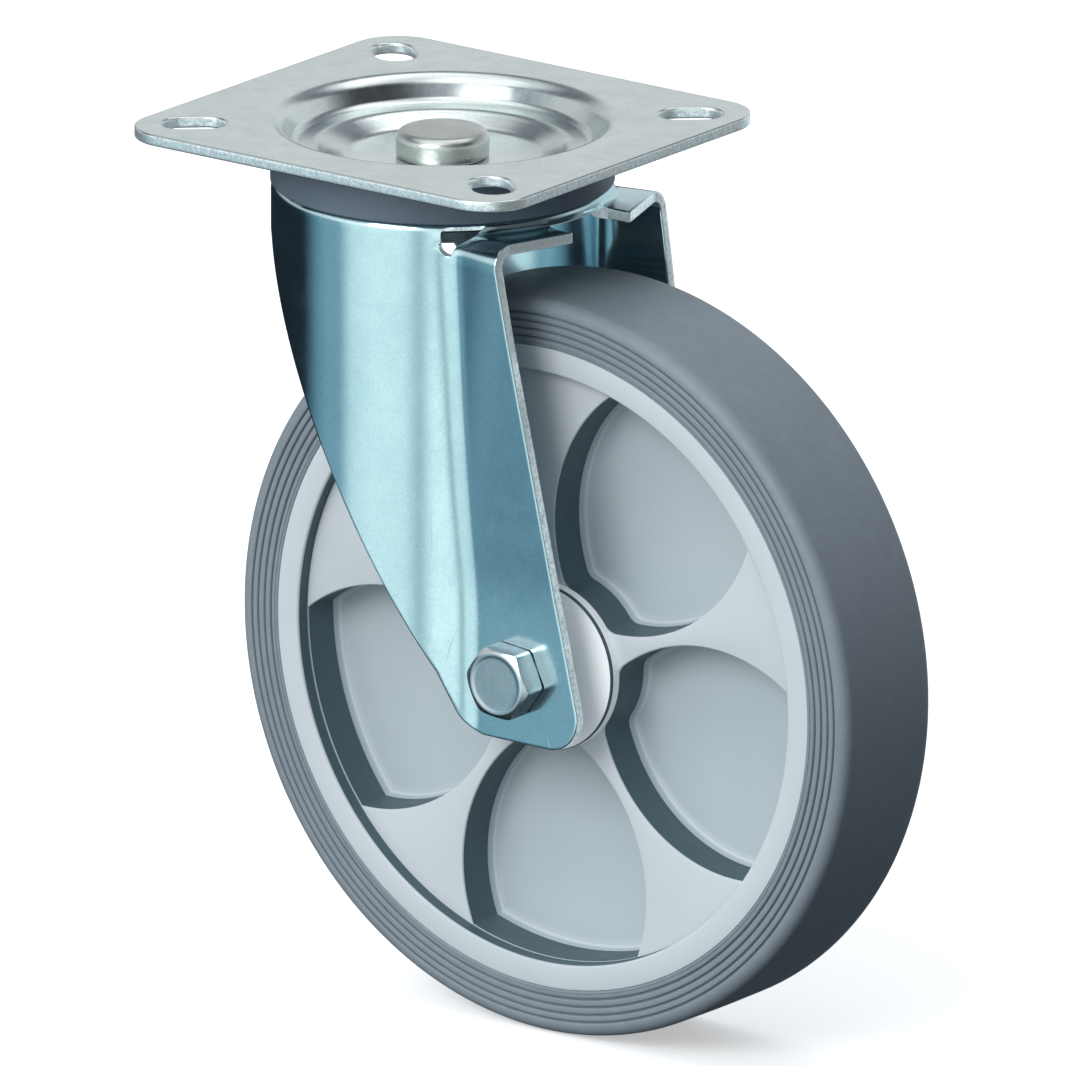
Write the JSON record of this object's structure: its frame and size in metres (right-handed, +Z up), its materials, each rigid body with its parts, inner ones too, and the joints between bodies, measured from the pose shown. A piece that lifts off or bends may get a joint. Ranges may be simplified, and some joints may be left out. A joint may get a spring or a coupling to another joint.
{
  "type": "swivel castor",
  "caption": "Plate-mounted swivel castor: pressed plate and ball-bearing head, one-piece drawn fork, and a plastic wheel with a soft grey tyre on ball bearings.",
  "frame": {"origin": "centre of the flat top face of the plate, on the swivel axis", "axes": "+Z up out of the plate along the swivel axis, +X along the plate's length towards the trailing wheel, +Y along the wheel axle"},
  "size_m": [0.21, 0.118, 0.237],
  "materials": {
    "zinc_plate": "pressed steel, bright zinc plated",
    "zinc_fork": "drawn steel, blue-bright zinc plated",
    "zinc_bolt": "cold-headed steel, zinc plated",
    "rivet_steel": "turned steel, thin zinc",
    "bearing_steel": "ground bearing steel",
    "cage_steel": "pressed steel",
    "seal_plastic": "matt grey plastic",
    "insert_plastic": "white plastic",
    "wheel_plastic": "light grey moulded plastic, semi-matt",
    "tyre_rubber": "grey non-marking thermoplastic rubber, satin",
    "shield_rubber": "black rubber"
  },
  "bodies": {
    "plate_body": {"top_plate": "zinc_plate", "kingpin": "rivet_steel", "lower_race_cup": "zinc_plate"},
    "upper_row": {"upper_balls": "bearing_steel", "upper_cage": "cage_steel"},
    "lower_row": {"lower_balls": "bearing_steel", "lower_cage": "cage_steel"},
    "fork_body": {"dust_seal": "seal_plastic", "fork": "zinc_fork", "axle_bolt": "zinc_bolt", "axle_nut": "zinc_bolt", "nut_insert": "insert_plastic", "axle_sleeve": "zinc_bolt", "inner_spacer": "zinc_bolt", "end_bushes": "zinc_bolt", "near_inner_ring": "bearing_steel", "far_inner_ring": "bearing_steel"},
    "near_row": {"near_balls": "bearing_steel", "near_cage": "cage_steel"},
    "far_row": {"far_balls": "bearing_steel", "far_cage": "cage_steel"},
    "wheel_body": {"wheel_centre": "wheel_plastic", "tyre": "tyre_rubber", "hub_caps": "wheel_plastic", "near_outer_ring": "bearing_steel", "far_outer_ring": "bearing_steel", "near_shields": "shield_rubber", "far_shields": "shield_rubber"}
  },
  "joints": [
    {"name": "swivel", "type": "hinge", "parent": "plate_body", "child": "fork_body", "pos_m": [0, 0, -0.0155], "axis": [0, 0, 1], "continuous": true},
    {"name": "upper_row_orbit", "type": "hinge", "parent": "plate_body", "child": "upper_row", "pos_m": [0, 0, -0.0133], "axis": [0, 0, 1], "continuous": true},
    {"name": "lower_row_orbit", "type": "hinge", "parent": "plate_body", "child": "lower_row", "pos_m": [0, 0, -0.0207], "axis": [0, 0, 1], "continuous": true},
    {"name": "wheel_spin", "type": "hinge", "parent": "fork_body", "child": "wheel_body", "pos_m": [0.047, 0, -0.137], "axis": [0, 1, 0], "continuous": true},
    {"name": "near_row_orbit", "type": "hinge", "parent": "fork_body", "child": "near_row", "pos_m": [0.047, -0.0095, -0.137], "axis": [0, 1, 0], "continuous": true},
    {"name": "far_row_orbit", "type": "hinge", "parent": "fork_body", "child": "far_row", "pos_m": [0.047, 0.0095, -0.137], "axis": [0, 1, 0], "continuous": true}
  ],
  "couplings": [
    {"joint": "upper_row_orbit", "follows": "swivel", "ratio": 0.5},
    {"joint": "lower_row_orbit", "follows": "swivel", "ratio": 0.5},
    {"joint": "near_row_orbit", "follows": "wheel_spin", "ratio": 0.62},
    {"joint": "far_row_orbit", "follows": "wheel_spin", "ratio": 0.62}
  ]
}
